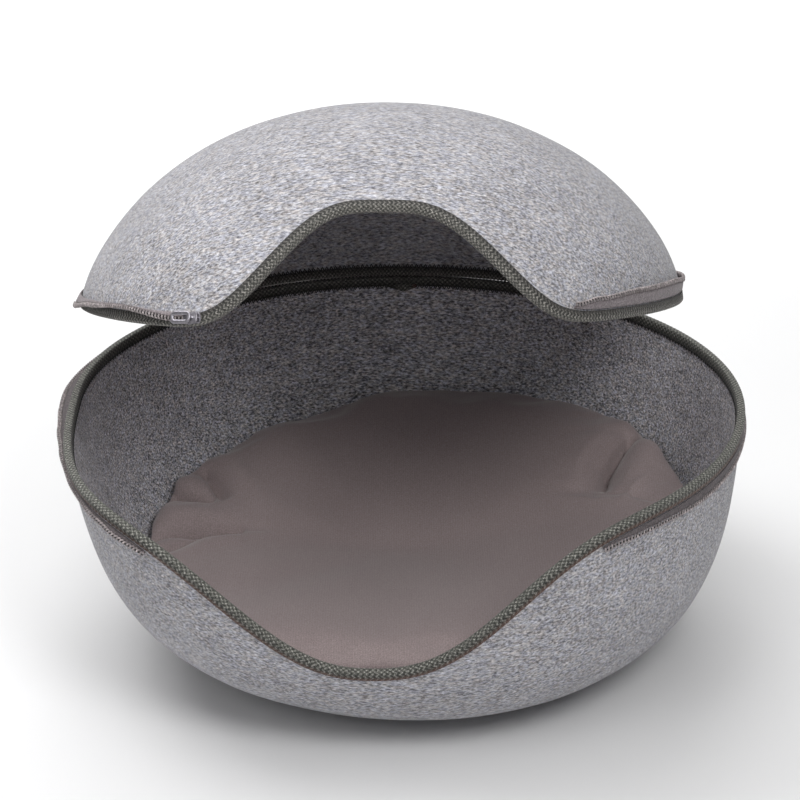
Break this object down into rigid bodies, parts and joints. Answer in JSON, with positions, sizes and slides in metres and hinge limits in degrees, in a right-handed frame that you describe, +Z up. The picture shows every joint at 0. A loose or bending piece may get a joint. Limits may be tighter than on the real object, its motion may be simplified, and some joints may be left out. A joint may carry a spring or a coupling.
{
  "type": "felt cat cave",
  "caption": "Round felt cat cave that unzips like a clam shell: scooped lower bowl holding a cushion, domed lid with an arched mouth propped open behind it.",
  "frame": {"origin": "middle of the bowl's flat base, on the floor", "axes": "+Z up; the front, with the scoop and the arch, faces -Y; +X is to the right of someone who faces the front"},
  "size_m": [0.453, 0.4281, 0.3704],
  "materials": {
    "bowl_felt": "heather grey pressed felt",
    "lid_felt": "heather grey pressed felt",
    "bowl_binding": "ribbed woven tape",
    "lid_binding": "ribbed woven tape",
    "bowl_zip_tape": "woven zip tape",
    "bowl_zip_coil": "nylon coil",
    "lid_zip_tape": "woven zip tape",
    "lid_zip_coil": "nylon coil",
    "zip_slider": "satin",
    "slider_pull": "satin",
    "cushion": "fine brushed taupe cloth"
  },
  "bodies": {
    "root": {"bowl_felt": "bowl_felt", "lid_felt": "lid_felt", "bowl_binding": "bowl_binding", "lid_binding": "lid_binding", "bowl_zip_tape": "bowl_zip_tape", "bowl_zip_coil": "bowl_zip_coil", "lid_zip_tape": "lid_zip_tape", "lid_zip_coil": "lid_zip_coil", "zip_slider": "zip_slider", "slider_pull": "slider_pull", "cushion": "cushion"}
  },
  "joints": []
}
